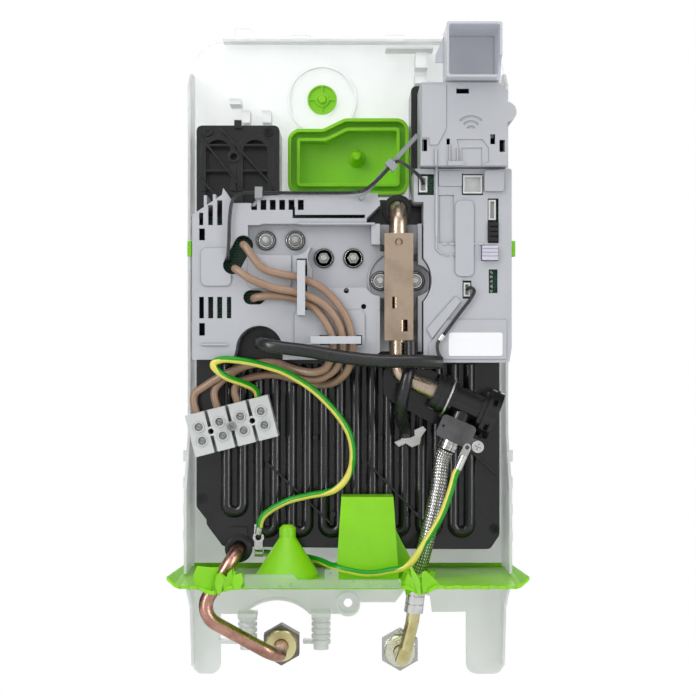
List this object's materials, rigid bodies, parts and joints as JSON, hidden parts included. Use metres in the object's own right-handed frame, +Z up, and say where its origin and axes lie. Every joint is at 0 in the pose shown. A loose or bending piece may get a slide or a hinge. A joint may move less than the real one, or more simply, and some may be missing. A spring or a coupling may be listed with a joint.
{
  "type": "tankless electric water heater",
  "caption": "Wall-hung tankless electric water heater with its cover off, showing heater block, wiring panel, control carrier, flow body, leads and union nuts on a frosted back shell.",
  "frame": {"origin": "on the wall face of the back shell, in the middle of its width, 0.228 m below its top edge", "axes": "+Z up along the wall, +Y into the wall, so the open front faces -Y, +X to the viewer's right"},
  "size_m": [0.246, 0.118, 0.481],
  "materials": {
    "frosted_plastic": "frosted",
    "lime_rubber": "satin",
    "lime_plastic": "satin",
    "black_plastic": "moulded",
    "grey_plastic": "fine grain",
    "white_plastic": "moulded",
    "button_plastic": "satin",
    "green_board": "solder mask",
    "plated_steel": "zinc plated",
    "dark_steel": "phosphated",
    "bronze_metal": "dull",
    "copper_metal": "drawn",
    "brass_metal": "turned",
    "braid": "braided",
    "black_rubber": "matte",
    "brown_wire": "smooth",
    "earth_wire": "smooth"
  },
  "bodies": {
    "heater": {"back_shell": "frosted_plastic", "screw_hole_plug": "lime_rubber", "upper_cable_boot": "lime_rubber", "bottom_seal": "lime_rubber", "heater_block_rear": "black_plastic", "heater_block_front": "black_plastic", "heating_coils": "plated_steel", "block_screws": "plated_steel", "terminal_studs": "plated_steel", "terminal_nuts": "plated_steel", "terminal_rings": "black_rubber", "power_board": "green_board", "electronics_panel": "grey_plastic", "cable_straps": "grey_plastic", "control_carrier": "grey_plastic", "control_board": "green_board", "board_connectors": "white_plastic", "coding_plug": "black_plastic", "reset_switch": "black_plastic", "radio_cover": "grey_plastic", "radio_module": "green_board", "display_box": "grey_plastic", "strut": "white_plastic", "cold_gland": "black_plastic", "cold_pipe": "bronze_metal", "heat_sink_plate": "bronze_metal", "triacs": "black_plastic", "flow_body": "black_plastic", "flow_spring_clip": "plated_steel", "flow_cap": "black_plastic", "inlet_filter": "plated_steel", "clamp_plate": "dark_steel", "clamp_screw": "plated_steel", "inlet_hose": "braid", "hose_ferrules": "plated_steel", "cold_elbow": "brass_metal", "nut_gaskets": "black_rubber", "hot_gland": "black_plastic", "hot_pipe": "copper_metal", "earth_tab": "plated_steel", "earth_lugs": "plated_steel", "terminal_block": "white_plastic", "terminal_screws": "plated_steel", "terminal_sleeves": "brass_metal", "heater_leads": "brown_wire", "earth_lead_long": "earth_wire", "earth_lead_short": "earth_wire", "panel_sleeve": "black_rubber", "sensor_sleeve": "black_rubber", "sensor_clip": "plated_steel", "sensor_leads": "black_rubber", "lead_clips": "white_plastic"},
    "reset_button": {"reset_button": "button_plastic"},
    "latch_left": {"latch_left": "lime_plastic"},
    "latch_right": {"latch_right": "lime_plastic"},
    "hot_nut": {"hot_nut": "brass_metal"},
    "cold_nut": {"cold_nut": "plated_steel"},
    "flow_turbine": {"flow_turbine": "white_plastic"}
  },
  "joints": [
    {"name": "reset_press", "type": "slide", "parent": "heater", "child": "reset_button", "axis": [0, 1, 0], "range_m": [0, 0.0025], "stiffness_N_per_m": 400, "springref_m": -0.002},
    {"name": "latch_left_slide", "type": "slide", "parent": "heater", "child": "latch_left", "axis": [-1, 0, 0], "range_m": [0, 0.003]},
    {"name": "latch_right_slide", "type": "slide", "parent": "heater", "child": "latch_right", "axis": [1, 0, 0], "range_m": [0, 0.003]},
    {"name": "hot_nut_turn", "type": "hinge", "parent": "heater", "child": "hot_nut", "pos_m": [-0.04895, -0.0165, -0.2184], "axis": [0, 1, 0], "continuous": true},
    {"name": "cold_nut_turn", "type": "hinge", "parent": "heater", "child": "cold_nut", "pos_m": [0.03828, -0.0165, -0.22224], "axis": [0, 1, 0], "continuous": true},
    {"name": "turbine_spin", "type": "hinge", "parent": "heater", "child": "flow_turbine", "pos_m": [0.0943, -0.08, -0.04439], "axis": [0.9184, 0, -0.3955], "continuous": true}
  ]
}
